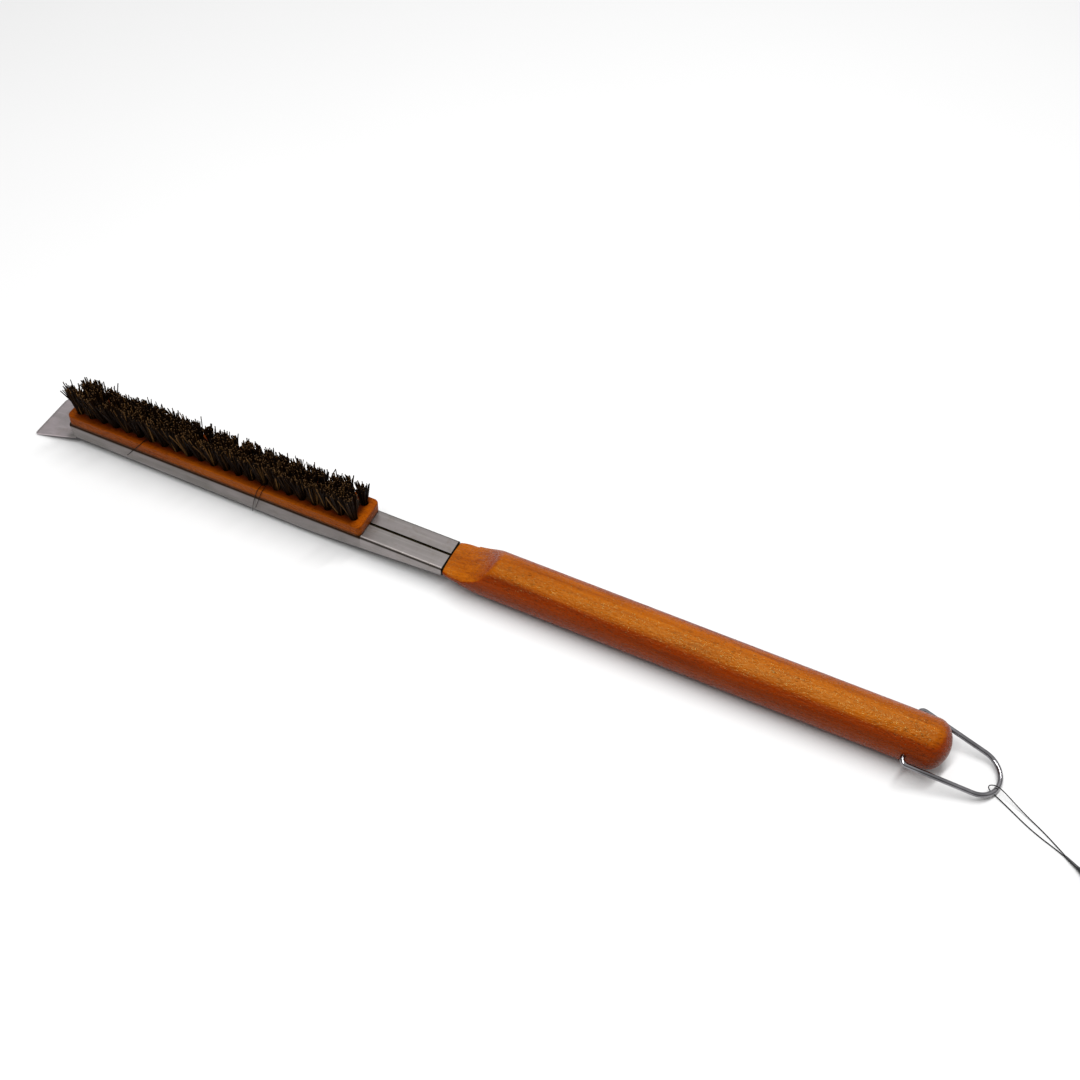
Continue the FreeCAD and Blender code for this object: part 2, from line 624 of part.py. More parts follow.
def make_screw(name, reach):
    """A pan head screw, point up, with the underside of its head at the body's origin."""
    body = new_body(name)
    head, high = "Sizes.screw_head_radius", "Sizes.screw_head_height"
    shank = "Sizes.screw_shank_radius"
    profile = sketch_on(body, "XZ_Plane", name + "_profile")
    draw_polygon(profile, [
        ("0", "-1 * " + high),
        (head + " * 0.62", "-1 * " + high),
        (head, "-0.45 * " + high),
        (head, "0"),
        (shank, "0"),
        (shank, reach + " - 1.2 * " + shank),
        ("0", reach),
    ])
    turned = body.newObject("PartDesign::Revolution", name + "_turned")
    turned.Profile = profile
    axis = [item for item in body.Origin.OriginFeatures if item.Role == "Z_Axis"][0]
    turned.ReferenceAxis = (axis, [""])
    turned.Angle = 360
    doc.recompute()
    for turn, (long_way, short_way) in enumerate((("1.7", "0.4"), ("0.4", "1.7"))):
        recess = sketch_on(body, "XY_Plane", "%s_recess_%d" % (name, turn),
                           shift="-1 * " + high)
        draw_polygon(recess, [
            ("-1 * " + long_way, "-1 * " + short_way),
            (long_way, "-1 * " + short_way),
            (long_way, short_way),
            ("-1 * " + long_way, short_way),
        ])
        pocket(body, recess, "%s_recess_cut_%d" % (name, turn), length=high + " * 0.6",
               backwards=True)
    return body


def make_head_screw(name, place):
    """Holds the block down on the top flanges, from inside the channel."""
    body = make_screw("head_screw_" + name, "Sizes.screw_reach")
    place_body(body, screw_x(place),
               up=TOP_Z + " - Sizes.sheet_thickness - Sizes.washer_thickness")
    return body


def make_head_washer(name, place):
    body = new_body("head_washer_" + name)
    outline = sketch_on(body, "XY_Plane", "washer_outline_" + name)
    draw_circles(outline, [("0", "0")], "Sizes.washer_radius")
    draw_circles(outline, [("0", "0")], "Sizes.flange_hole_radius")
    pad(body, outline, "Sizes.washer_thickness", "washer_disc_" + name)
    place_body(body, screw_x(place),
               up=TOP_Z + " - Sizes.sheet_thickness - Sizes.washer_thickness")
    return body


def make_tenon_screw(name, back):
    """Holds the tongue down on the channel's floor, square to the sloping floor."""
    body = make_screw("tenon_screw_" + name, "Sizes.tenon_screw_reach + Sizes.sheet_thickness")
    body.Placement = FreeCAD.Placement(
        FreeCAD.Vector(),
        FreeCAD.Rotation(FreeCAD.Vector(0, 1, 0), number(tilt_angle())),
    )
    place_body(body, JOINT_X + " - Sizes." + back,
               up=JOINT_Z + " - Sizes." + back + " * " + SLOPE)
    return body


# ---------------------------------------------------------------- hanging loop


def make_hanging_loop():
    """A bent wire whose two ends turn in the handle; drawn flat, then let down to rest."""
    body = new_body("hanging_loop")
    reach, bow = size("loop_reach"), size("bow_radius")
    knee, insert = size("knee_radius"), size("wire_insert")
    closing = math.radians(size("leg_angle"))
    bow_x = reach - bow
    tangent = (bow_x + bow * math.sin(closing), bow * math.cos(closing))
    # The leg's line, followed back to the hinge, and the knee that joins it to the hinge.
    corner_y = tangent[1] + tangent[0] * math.tan(closing)
    back = knee * math.tan((math.pi / 2 + closing) / 2)
    knee_centre = (knee, corner_y - back)
    knee_end = (back * math.cos(closing), corner_y - back * math.sin(closing))
    leg_side = math.pi / 2 - closing
    knee_middle = (math.pi + leg_side) / 2
    on_knee = (knee_centre[0] + knee * math.cos(knee_middle),
               knee_centre[1] + knee * math.sin(knee_middle))
    inside = size("handle_diameter") / 2 - insert

    def flip(spot):
        return (spot[0], -spot[1])

    def vector(spot):
        return FreeCAD.Vector(spot[0], spot[1], 0)

    path = sketch_on(body, "XY_Plane", "loop_path")
    far_end, far_knee = (0, inside), (0, knee_centre[1])
    pieces = [
        Part.LineSegment(vector(far_end), vector(far_knee)),
        arc_between(far_knee, on_knee, knee_end),
        Part.LineSegment(vector(knee_end), vector(tangent)),
        arc_between(tangent, (reach, 0), flip(tangent)),
        Part.LineSegment(vector(flip(tangent)), vector(flip(knee_end))),
        arc_between(flip(knee_end), flip(on_knee), flip(far_knee)),
        Part.LineSegment(vector(flip(far_knee)), vector(flip(far_end))),
    ]
    for piece in pieces:
        path.addGeometry(piece, False)
    # The arcs are drawn clockwise, so each one starts where the path leaves it.
    tie = path.addConstraint
    tie(Sketcher.Constraint("Tangent", 0, 2, 1, 2))
    tie(Sketcher.Constraint("Tangent", 1, 1, 2, 1))
    tie(Sketcher.Constraint("Tangent", 2, 2, 3, 2))
    tie(Sketcher.Constraint("Tangent", 3, 1, 4, 1))
    tie(Sketcher.Constraint("Tangent", 4, 2, 5, 2))
    tie(Sketcher.Constraint("Tangent", 5, 1, 6, 1))
    bind(path, Sketcher.Constraint("Radius", 1, knee), "Sizes.knee_radius")
    bind(path, Sketcher.Constraint("Radius", 5, knee), "Sizes.knee_radius")
    bind(path, Sketcher.Constraint("Radius", 3, bow), "Sizes.bow_radius")
    pin_point(path, 3, 3, "Sizes.loop_reach - Sizes.bow_radius", "0")
    pin_point(path, 0, 1, "0", "Sizes.handle_diameter / 2 - Sizes.wire_insert")
    pin_point(path, 6, 2, "0", "-1 * (Sizes.handle_diameter / 2 - Sizes.wire_insert)")
    tie(Sketcher.Constraint("Vertical", 0))
    tie(Sketcher.Constraint("Vertical", 6))
    bind(path, Sketcher.Constraint("Angle", -1, 1, 2, 1, -closing), "-1 deg * Sizes.leg_angle")
    tie(Sketcher.Constraint("Symmetric", 3, 1, 3, 2, -1))

    section = sketch_on(body, "XZ_Plane", "wire_section",
                        shift="-1 * (Sizes.handle_diameter / 2 - Sizes.wire_insert)")
    draw_circles(section, [("0", "0")], "Sizes.wire_radius")
    pipe = body.newObject("PartDesign::AdditivePipe", "wire")
    pipe.Profile = section
    pipe.Spine = (path, [])
    doc.recompute()

    droop = math.degrees(math.asin(size("loop_drop") / reach))
    body.Placement = FreeCAD.Placement(
        FreeCAD.Vector(), FreeCAD.Rotation(FreeCAD.Vector(0, 1, 0), droop)
    )
    place_body(body, HINGE_X, up=AXIS_Z)
    return body


# ---------------------------------------------------------------- tag string and its lock

# Where the string meets its lock, from the middle of the bow's outside, and its heading.
LOCK_AWAY = 42.3
LOCK_SIDE = -27.6
LOCK_TURN = -31.0


def lock_tip():
    bow_x = size("overall_length") / 2
    return FreeCAD.Vector(bow_x + LOCK_AWAY, LOCK_SIDE, size("lock_tip_radius"))


def string_route():
    """Corners of the string: from the lock along the surface, round the bow and back."""
    start = lock_tip()
    heading = math.radians(LOCK_TURN)
    along = FreeCAD.Vector(math.cos(heading), math.sin(heading), 0)
    aside = FreeCAD.Vector(-along.y, along.x, 0)
    gap = size("string_radius") + 0.04
    low, high = start - aside * gap, start + aside * gap
    floor = size("string_radius") + 0.06
    middle = [
        (354.2, -25.0, floor), (345.6, -21.9, floor), (336.6, -17.8, floor),
        (327.6, -12.7, floor), (320.2, -8.8, 0.62), (314.9, -6.3, 0.85),
        (311.9, -5.1, 2.1), (312.1, -4.6, 4.6), (315.3, -4.0, 5.45),
        (319.8, -4.7, 4.3), (327.2, -7.9, 2.1), (336.2, -12.4, 0.6),
        (345.4, -17.2, floor), (353.8, -22.4, floor),
    ]
    return [low] + [FreeCAD.Vector(*spot) for spot in middle] + [high]


def rounded_path(route):
    """Straight runs joined by tangent arcs, each as large as its two runs allow."""
    edges, radii = [], []
    last = route[0]
    for before, corner, after in zip(route, route[1:], route[2:]):
        inward, onward = corner - before, after - corner
        turn = inward.getAngle(onward)
        shorter = min(inward.Length, onward.Length)
        radii.append(0.45 * shorter / math.tan(turn / 2))
        back = 0.45 * shorter
        begin = corner - inward.normalize() * back
        finish = corner + onward.normalize() * back
        centre_way = ((begin + finish) * 0.5 - corner).normalize()
        centre = corner + centre_way * math.hypot(back, radii[-1])
        through = centre - centre_way * radii[-1]
        edges.append(Part.LineSegment(last, begin).toShape())
        edges.append(Part.Arc(begin, through, finish).toShape())
        last = finish
    edges.append(Part.LineSegment(last, route[-1]).toShape())
    return Part.Wire(edges), radii


def make_tag_string():
    """One thin cord, looped round the bow, with both ends in the lock."""
    route = string_route()
    path, radii = rounded_path(route)
    radius = size("string_radius")
    ring = Part.makeCircle(radius, route[0], route[1] - route[0])
    tube = path.makePipeShell([Part.Wire(ring)], True, True)
    item = doc.addObject("Part::Feature", "tag_string")
    item.Shape = tube
    expected = math.pi * radius ** 2 * path.Length
    print("tag_string length %.2f, volume %.3f of %.3f" % (path.Length, tube.Volume, expected))
    print("tag_string radii", " ".join("%.2f" % bend for bend in radii))
    return item


def make_tag_lock():
    """The string's lock: a taper from a narrow tip to a short barrel with a blunt end."""
    body = new_body("tag_lock")
    tip, wide = "Sizes.lock_tip_radius", "Sizes.lock_radius"
    full = "Sizes.lock_taper + Sizes.lock_barrel"
    profile = sketch_on(body, "XY_Plane", "lock_profile")
    draw_polygon(profile, [
        ("0", "0"),
        ("0", tip),
        ("Sizes.lock_taper * 0.6", tip + " * 1.4"),
        ("Sizes.lock_taper", wide + " * 0.9"),
        ("Sizes.lock_taper + 1.5", wide),
        (full + " - 1", wide),
        (full, wide + " * 0.6"),
        (full, "0"),
    ])
    turned = body.newObject("PartDesign::Revolution", "lock_turned")
    turned.Profile = profile
    axis = [item for item in body.Origin.OriginFeatures if item.Role == "X_Axis"][0]
    turned.ReferenceAxis = (axis, [""])
    turned.Angle = 360
    doc.recompute()
    # The lock points up a little, so that the front of its wide barrel lies on the surface.
    front = size("lock_taper") + 1.5
    step = size("lock_radius") - size("lock_tip_radius")
    rise = math.degrees(math.atan2(step + 0.1, front))
    turn = FreeCAD.Rotation(FreeCAD.Vector(0, 0, 1), LOCK_TURN)
    lift = FreeCAD.Rotation(FreeCAD.Vector(0, 1, 0), -rise)
    body.Placement = FreeCAD.Placement(lock_tip(), turn.multiply(lift))
    return body


# ---------------------------------------------------------------- build and write

subparts = [make_scraper_channel(), make_handle(), make_brush_block()]
for row_name in ("near", "middle", "far"):
    subparts.append(make_bristle_row(row_name))
    subparts.append(make_staple_row(row_name))
for screw_name, screw_place in SCREW_PLACES.items():
    subparts.append(make_head_screw(screw_name, screw_place))
    subparts.append(make_head_washer(screw_name, screw_place))
for screw_name in ("front", "rear"):
    subparts.append(make_tenon_screw(screw_name, "tenon_screw_" + screw_name))
subparts.append(make_hanging_loop())
subparts.append(make_tag_string())
subparts.append(make_tag_lock())
doc.recompute()

failed = [item.Name for item in doc.Objects if {"Invalid", "Error"} & set(item.State)]
if failed:
    raise ValueError("failed objects: " + ", ".join(failed))
for item in subparts:
    if item.Shape.isNull() or not item.Shape.isValid() or not item.Shape.Solids:
        raise ValueError(item.Label + " has no valid solid")

os.makedirs("parts", exist_ok=True)
for item in subparts:
    item.Shape.exportStep(os.path.join("parts", item.Label + ".step"))
    box = item.Shape.BoundBox
    print("%-20s %2d solids %10.2f mm3  x %8.2f %8.2f  y %7.2f %7.2f  z %6.2f %6.2f" % (
        item.Label, len(item.Shape.Solids), item.Shape.Volume,
        box.XMin, box.XMax, box.YMin, box.YMax, box.ZMin, box.ZMax))
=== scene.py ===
"""The looks of a grill cleaning brush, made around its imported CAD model. Metres, row frame."""

import math

import bmesh
import bpy
import numpy as np
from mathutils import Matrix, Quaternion, Vector


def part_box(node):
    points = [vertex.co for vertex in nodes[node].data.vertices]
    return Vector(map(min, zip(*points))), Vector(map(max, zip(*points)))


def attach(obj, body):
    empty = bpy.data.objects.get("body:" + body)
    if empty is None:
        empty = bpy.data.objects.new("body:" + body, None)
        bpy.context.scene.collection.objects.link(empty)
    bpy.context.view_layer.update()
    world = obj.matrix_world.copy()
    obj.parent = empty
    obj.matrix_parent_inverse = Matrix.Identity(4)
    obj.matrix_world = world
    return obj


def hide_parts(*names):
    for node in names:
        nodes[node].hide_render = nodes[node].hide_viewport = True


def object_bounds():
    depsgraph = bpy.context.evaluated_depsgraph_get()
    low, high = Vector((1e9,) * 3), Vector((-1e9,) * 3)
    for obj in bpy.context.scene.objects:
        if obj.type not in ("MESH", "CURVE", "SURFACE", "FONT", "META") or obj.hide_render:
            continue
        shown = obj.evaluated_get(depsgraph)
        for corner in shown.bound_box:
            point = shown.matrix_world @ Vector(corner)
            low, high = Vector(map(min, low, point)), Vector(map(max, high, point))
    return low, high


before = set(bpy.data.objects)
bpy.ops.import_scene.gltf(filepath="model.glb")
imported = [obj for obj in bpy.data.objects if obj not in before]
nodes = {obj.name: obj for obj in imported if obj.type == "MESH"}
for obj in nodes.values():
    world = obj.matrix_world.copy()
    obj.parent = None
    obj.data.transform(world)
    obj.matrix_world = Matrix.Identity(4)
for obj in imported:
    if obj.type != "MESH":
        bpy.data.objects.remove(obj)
cad_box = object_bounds()
MM = 0.001
JOINT_GAP = 0.4 * MM  # end of the channel to the handle's shoulder

# ---------------------------------------------------------------- camera

AIM = Vector((0.0186, 0.036, 0.015))
DISTANCE = 0.9465
AZIMUTH, ELEVATION, ROLL = 22.83, 50.37, 2.77  # degrees
LENS, SENSOR = 51.75, 36  # mm


def make_camera():
    turn, rise = math.radians(AZIMUTH), math.radians(ELEVATION)
    back = Vector((math.sin(turn) * math.cos(rise), -math.cos(turn) * math.cos(rise),
                   math.sin(rise)))
    camera = bpy.data.objects.new("camera", bpy.data.cameras.new("camera"))
    camera.data.lens = LENS
    camera.data.sensor_width = SENSOR
    camera.data.clip_start, camera.data.clip_end = 0.05, 50
    camera.location = AIM + DISTANCE * back
    camera.rotation_mode = "QUATERNION"
    roll = Quaternion((0, 0, 1), math.radians(ROLL))
    camera.rotation_quaternion = (-back).to_track_quat("-Z", "Y") @ roll
    bpy.context.collection.objects.link(camera)
    bpy.context.scene.camera = camera


# ---------------------------------------------------------------- material helpers

class Look:
    """A material's node tree, with short calls for the nodes that the looks share."""

    def __init__(self, name):
        self.material = bpy.data.materials.new(name)
        self.material.use_nodes = True
        self.tree = self.material.node_tree
        self.shader = self.tree.nodes["Principled BSDF"]
        coordinates = self.add("TexCoord").outputs
        self.place = coordinates["Object"]
        # How far the surface itself faces up, from -1 to 1.
        self.upward = self.add("SeparateXYZ", {0: coordinates["Normal"]}).outputs[2]

    def add(self, kind, inputs=None, **settings):
        made = self.tree.nodes.new("ShaderNode" + kind)
        for key, value in settings.items():
            setattr(made, key, value)
        for key, value in (inputs or {}).items():
            self.give(made.inputs[key], value)
        return made

    def give(self, socket, value):
        if isinstance(value, bpy.types.NodeSocket):
            self.tree.links.new(value, socket)
        else:
            socket.default_value = value

    def stretched(self, scale, turn=(0, 0, 0)):
        inputs = {"Vector": self.place, "Scale": scale, "Rotation": turn}
        return self.add("Mapping", inputs).outputs[0]

    def noise(self, scale, detail=3, roughness=0.5, distortion=0, turn=(0, 0, 0)):
        inputs = {"Vector": self.stretched(scale, turn), "Scale": 1, "Detail": detail,
                  "Roughness": roughness, "Distortion": distortion}
        return self.add("TexNoise", inputs).outputs[0]

    def span(self, value, low, high, to_low=0.0, to_high=1.0):
        """Goes smoothly from to_low to to_high while the value goes from low to high."""
        inputs = {0: value, 1: low, 2: high, 3: to_low, 4: to_high}
        return self.add("MapRange", inputs, interpolation_type="SMOOTHSTEP").outputs[0]

    def maths(self, kind, first, second):
        return self.add("Math", {0: first, 1: second}, operation=kind).outputs[0]

    def ramp(self, factor, *stops):
        made = self.add("ValToRGB", {0: factor})
        bar = made.color_ramp.elements
        while len(bar) < len(stops):
            bar.new(0.5)
        for stop, (place, colour) in zip(bar, stops):
            stop.position = place
            stop.color = (*colour, 1)
        return made.outputs[0]

    def mix(self, factor, first, second, kind="MIX"):
        made = self.add("Mix", {0: factor}, data_type="RGBA", blend_type=kind)
        for socket, value in ((made.inputs[6], first), (made.inputs[7], second)):
            colour = (*value, 1) if isinstance(value, tuple) else value
            self.give(socket, colour)
        return made.outputs[2]

    def bump(self, height, distance, strength=1.0, under=None):
        inputs = {"Height": height, "Distance": distance, "Strength": strength}
        if under is not None:
            inputs["Normal"] = under
        return self.add("Bump", inputs).outputs[0]

    def finish(self, **inputs):
        for key, value in inputs.items():
            socket = self.shader.inputs[key.replace("_", " ")]
            if isinstance(value, tuple) and len(value) == 3:
                value = (*value, 1)
            self.give(socket, value)
        return self.material


# ---------------------------------------------------------------- materials

def varnished_wood(name, light, middle, dark, fleck, turn=0.0):
    """Beech with its grain along X: growth bands, fine grain, ray flecks and pores.

    Gives the look, its colour, its grainy relief and the bands, to be finished by the caller."""
    look = Look(name)
    tilt = (0, 0, math.radians(turn))
    bands = look.noise((4, 85, 85), 2, 0.5, 0.8, tilt)
    grain = look.noise((20, 620, 620), 4, 0.62, 0.3, tilt)
    pores = look.noise((260, 2600, 2600), 2, 0.5, 0, tilt)
    blotch = look.noise((24, 45, 45), 3)
    tone = look.maths("ADD", look.maths("MULTIPLY", grain, 0.55),
                      look.maths("MULTIPLY", bands, 0.45))
    colour = look.ramp(tone, (0.33, dark), (0.5, middle), (0.68, light))
    colour = look.mix(look.span(blotch, 0.38, 0.7, 0, 0.5), colour, (0.84, 0.72, 0.5), "MULTIPLY")
    marks = 0
    for scale, share in (((230, 1250, 1250), 0.5), ((420, 2100, 2100), 0.42)):
        cells = look.add("TexVoronoi", {"Vector": look.stretched(scale, tilt), "Scale": 1,
                                        "Randomness": 1.0})
        pick = look.add("SeparateColor", {0: cells.outputs["Color"]}).outputs[0]
        spot = look.span(cells.outputs["Distance"], 0.16, 0.34, 1, 0)
        spots = look.maths("MULTIPLY", spot, look.span(pick, share, share + 0.08))
        marks = look.maths("MAXIMUM", spots, marks)
    strength = look.span(blotch, 0.36, 0.6, 0.4, 0.9)
    colour = look.mix(look.maths("MULTIPLY", marks, strength), colour, fleck)
    open_pores = look.span(pores, 0.56, 0.68)
    colour = look.mix(look.maths("MULTIPLY", open_pores, 0.35), colour, fleck)
    height = look.maths("SUBTRACT", look.maths("MULTIPLY", grain, 0.4),
                        look.maths("ADD", look.maths("MULTIPLY", open_pores, 0.5),
                                   look.maths("MULTIPLY", marks, 0.5)))
    wavy = look.bump(look.noise((30, 120, 120), 2), 0.0006, 0.25)
    grainy = look.bump(look.noise((360, 850, 850), 2, 0.6), 0.0006, 1.0, wavy)
    skin = look.bump(height, 0.00012, 0.5, grainy)
    return look, colour, skin, bands


def handle_wood(joint):
    """The handle is paler on top and painted darker below as painted shade, and its varnish is
    grainy.

    In front of the joint, where only the slit shows it, the wood is painted near black as painted
    shade, and so is the front of the rim at the joint."""
    look, colour, skin, bands = varnished_wood("beech", (0.37, 0.092, 0.0007),
                                               (0.29, 0.065, 0.0004), (0.193, 0.036, 0.0003),
                                               (0.09, 0.018, 0.0003))
    x = look.add("SeparateXYZ", {0: look.place}).outputs[0]
    wander = look.maths("MULTIPLY", look.maths("SUBTRACT", bands, 0.5), 0.3)
    # Painted shade: the colour darkens where the surface faces less upward.
    painted_shade_below = look.span(look.maths("ADD", look.upward, wander), 0.66, 0.94, 1, 0)
    colour = look.mix(painted_shade_below, colour, (0.65, 0.31, 0.3), "MULTIPLY")
    # Painted shade: the tongue and the front of the rim at the joint are painted near black, as
    # the slit and the joint gap look in shade.
    inside = look.span(x, joint + 0.1 * MM, joint + 0.5 * MM, 1, 0)
    colour = look.mix(inside, colour, (0.010, 0.004, 0.001))
    speckle = look.noise((330, 950, 950), 2, 0.6, 0.6)
    rough = look.span(speckle, 0.40, 0.60, 0.46, 0.14)
    return look.finish(Base_Color=colour, Roughness=rough, Normal=skin,
                       Specular_IOR_Level=0.15, Specular_Tint=(0.7, 1.0, 0.40))


def block_wood(low, high):
    """The block is painted dark round the bristles and along its foot, as painted shade."""
    look, colour, skin, bands = varnished_wood("block_wood", (0.295, 0.066, 0.0005),
                                               (0.235, 0.048, 0.0004), (0.156, 0.027, 0.0002),
                                               (0.06, 0.010, 0.0002), 1.5)
    x, y, z = look.add("SeparateXYZ", {0: look.place}).outputs
    # Painted shade: the block is darkened along its foot.
    foot = look.span(z, low.z + 0.8 * MM, low.z + 3.2 * MM, 1, 0)
    colour = look.mix(foot, colour, (0.28, 0.34, 0.5), "MULTIPLY")
    wander = look.maths("MULTIPLY", look.maths("SUBTRACT", bands, 0.5), 2 * MM)
    outward = look.maths("ADD", look.maths("ABSOLUTE", y, 0), wander)
    middle, half = (low.x + high.x) / 2, (high.x - low.x) / 2
    from_middle = look.maths("ABSOLUTE", look.maths("SUBTRACT", x, middle), 0)
    top = look.maths("MULTIPLY", look.span(z, high.z - 0.8 * MM, high.z - 0.2 * MM),
                     look.span(from_middle, half - 7.5 * MM, half - 2.5 * MM, 1, 0))
    # Painted shade: the block's top is darkened near the tufts, where the bristles shade it.
    painted_tuft_shade = look.span(outward, 8.3 * MM, high.y - 0.2 * MM, 1, 0.5)
    colour = look.mix(look.maths("MULTIPLY", painted_tuft_shade, top), colour, (0.22, 0.12, 0.15),
                      "MULTIPLY")
    # Painted shade: the block's top between the tufts is painted near black.
    between = look.maths("MULTIPLY", look.span(outward, 6.2 * MM, 8.6 * MM, 1, 0),
                         look.span(from_middle, half - 10 * MM, half - 7.5 * MM, 1, 0))
    between = look.maths("MULTIPLY", between, top)
    colour = look.mix(between, colour, (0.012, 0.005, 0.002))
    rough = look.span(look.noise((300, 800, 800), 3, 0.6), 0.3, 0.7, 0.34, 0.5)
    return look.finish(Base_Color=colour, Roughness=rough, Normal=skin,
                       Specular_IOR_Level=0.06, Specular_Tint=(1.0, 0.7, 0.3))


def brushed_steel(name, clean, aged, rough_low, rough_high, steel_end, block_ends):
    """Cold-rolled sheet: long fine lines, cloudy patches and a few scratches.

    Shade is painted in the slit, at the joint and below the block, most of it just under the
    block's foot. The bends are painted darker as shade, and the scraper in front of the block is
    painted brighter as light."""
    look = Look(name)
    block_front, block_rear = block_ends
    lines = look.noise((9, 2100, 2100), 3, 0.65)
    streaks = look.noise((14, 420, 420), 3)
    clouds = look.noise((24, 60, 60), 4, 0.6, 0.5)
    grime = look.noise((140, 140, 140), 4, 0.65)
    colour = look.mix(look.span(clouds, 0.35, 0.68), clean, aged)
    colour = look.mix(look.span(grime, 0.52, 0.75, 0, 0.35), colour, (0.16, 0.125, 0.09))
    colour = look.mix(look.span(streaks, 0.5, 0.8, 0, 0.12), colour, (0.72, 0.69, 0.66))
    x, y, z = look.add("SeparateXYZ", {0: look.place}).outputs
    # Painted shade: the bends are painted darker, as the folds look dark.
    bend = look.maths("MULTIPLY", look.span(look.upward, 0.15, 0.45),
                      look.span(look.upward, 0.80, 0.97, 1, 0))
    colour = look.mix(bend, colour, (0.28, 0.26, 0.24), "MULTIPLY")
    # Painted light: the scraper in front of the block is painted brighter.
    painted_blade_light = look.span(x, block_front - 6 * MM, block_front - MM, 1, 0)
    colour = look.mix(painted_blade_light, colour, (1.84, 1.79, 1.88), "MULTIPLY")
    behind = look.span(x, block_rear - MM, block_rear)
    # Painted shade: the steel below the block is painted dark, most of it just under the block's
    # foot.
    under = look.maths("MAXIMUM", look.span(z, 14.2 * MM, 16.2 * MM, 0, 0.93),
                       look.span(z, 3 * MM, 16.5 * MM, 0, 0.25))
    under = look.maths("MULTIPLY", under, look.maths("SUBTRACT", 1, behind))
    colour = look.mix(under, colour, (0.026, 0.012, 0.004))
    # Painted shade: the slit's edges are painted near black.
    slit = look.maths("MULTIPLY", behind,
                      look.span(look.maths("ABSOLUTE", y, 0), 0.8 * MM, MM, 1, 0))
    # Painted shade: the channel's end at the joint is painted near black, as the gap to the
    # handle looks dark.
    joint = look.span(x, steel_end - 0.6 * MM, steel_end - 0.3 * MM)
    colour = look.mix(look.maths("MAXIMUM", slit, joint), colour, (0.006, 0.004, 0.003))
    rough = look.span(look.maths("ADD", look.maths("MULTIPLY", lines, 0.5),
                                 look.maths("MULTIPLY", clouds, 0.5)),
                      0.35, 0.65, rough_low, rough_high)
    scratch = look.noise((600, 35, 300), 2, 0.5, 0.8, (0.3, 0.2, 0.5))
    cut = look.span(scratch, 0.70, 0.74)
    height = look.maths("SUBTRACT", look.maths("MULTIPLY", lines, 0.6),
                        look.maths("MULTIPLY", cut, 0.6))
    relief = look.bump(height, 0.00006, 0.5)
    waves = look.bump(look.noise((12, 30, 30), 2), 0.0012, 0.25, relief)
    return look.finish(Base_Color=colour, Metallic=1.0, Roughness=rough, Normal=waves)


def plated_metal(name, clean, dull, rough_low, rough_high, grain):
    """Plated or drawn wire and screws: small specks and a few dull marks."""
    look = Look(name)
    specks = look.noise((grain, grain, grain), 4, 0.6)
    marks = look.noise((grain / 5, grain / 5, grain / 5), 3, 0.55)
    colour = look.mix(look.span(marks, 0.42, 0.68), clean, dull)
    rough = look.span(specks, 0.35, 0.7, rough_low, rough_high)
    relief = look.bump(specks, 0.00003, 0.4)
    return look.finish(Base_Color=colour, Metallic=1.0, Roughness=rough, Normal=relief)


def fibre(name):
    """Stiff palm fibre: each one has its own brown, and its tip is paler and dusty."""
    look = Look(name)
    tint = look.add("Attribute", attribute_name="tint").outputs["Fac"]
    along = look.add("Attribute", attribute_name="along").outputs["Fac"]
    # Each fibre gets its own brown, and the palest browns also stand in for glints, as painted
    # light.
    colour = look.ramp(tint, (0.0, (0.0034, 0.0011, 0.0002)), (0.5, (0.0085, 0.0030, 0.0006)),
                       (0.8, (0.030, 0.0125, 0.0030)), (1.0, (0.17, 0.085, 0.026)))
    skin = look.noise((900, 900, 350), 3, 0.6)
    colour = look.mix(look.span(skin, 0.5, 0.8, 0, 0.3), colour, (0.030, 0.014, 0.005))
    cut_end = look.maths("MULTIPLY", look.span(along, 0.975, 0.99, 0, 0.9),
                         look.span(tint, 0.15, 0.6))
    colour = look.mix(cut_end, colour, (0.075, 0.040, 0.016))
    relief = look.bump(skin, 0.00008, 0.5)
    return look.finish(Base_Color=colour, Roughness=look.span(skin, 0.3, 0.7, 0.36, 0.55),
                       Normal=relief, Specular_IOR_Level=0.04)


def twisted_cord(name):
    """Black cord with slanting threads and a little fuzz."""
    look = Look(name)
    threads = look.add("TexWave", {"Vector": look.stretched((1, 1, 1), (0.4, 0.5, 0.6)),
                                   "Scale": 420, "Distortion": 2.0, "Detail": 2})
    fuzz = look.noise((2500, 2500, 2500), 3)
    colour = look.mix(threads.outputs[1], (0.003, 0.003, 0.003), (0.010, 0.010, 0.011))
    colour = look.mix(look.span(fuzz, 0.55, 0.8, 0, 0.4), colour, (0.025, 0.025, 0.027))
    relief = look.bump(threads.outputs[1], 0.0001, 0.6)
    return look.finish(Base_Color=colour, Roughness=look.span(fuzz, 0.3, 0.7, 0.6, 0.85),
                       Normal=relief, Specular_IOR_Level=0.1)


def moulded_plastic(name):
    """Black plastic with a fine grain."""
    look = Look(name)
    grain = look.noise((1400, 1400, 1400), 3, 0.6)
    flow = look.noise((180, 320, 320), 2)
    colour = look.mix(look.span(flow, 0.3, 0.7), (0.004, 0.004, 0.0045), (0.009, 0.009, 0.010))
    relief = look.bump(grain, 0.00003, 0.35)
    return look.finish(Base_Color=colour, Roughness=look.span(grain, 0.3, 0.7, 0.24, 0.4),
                       Normal=relief)


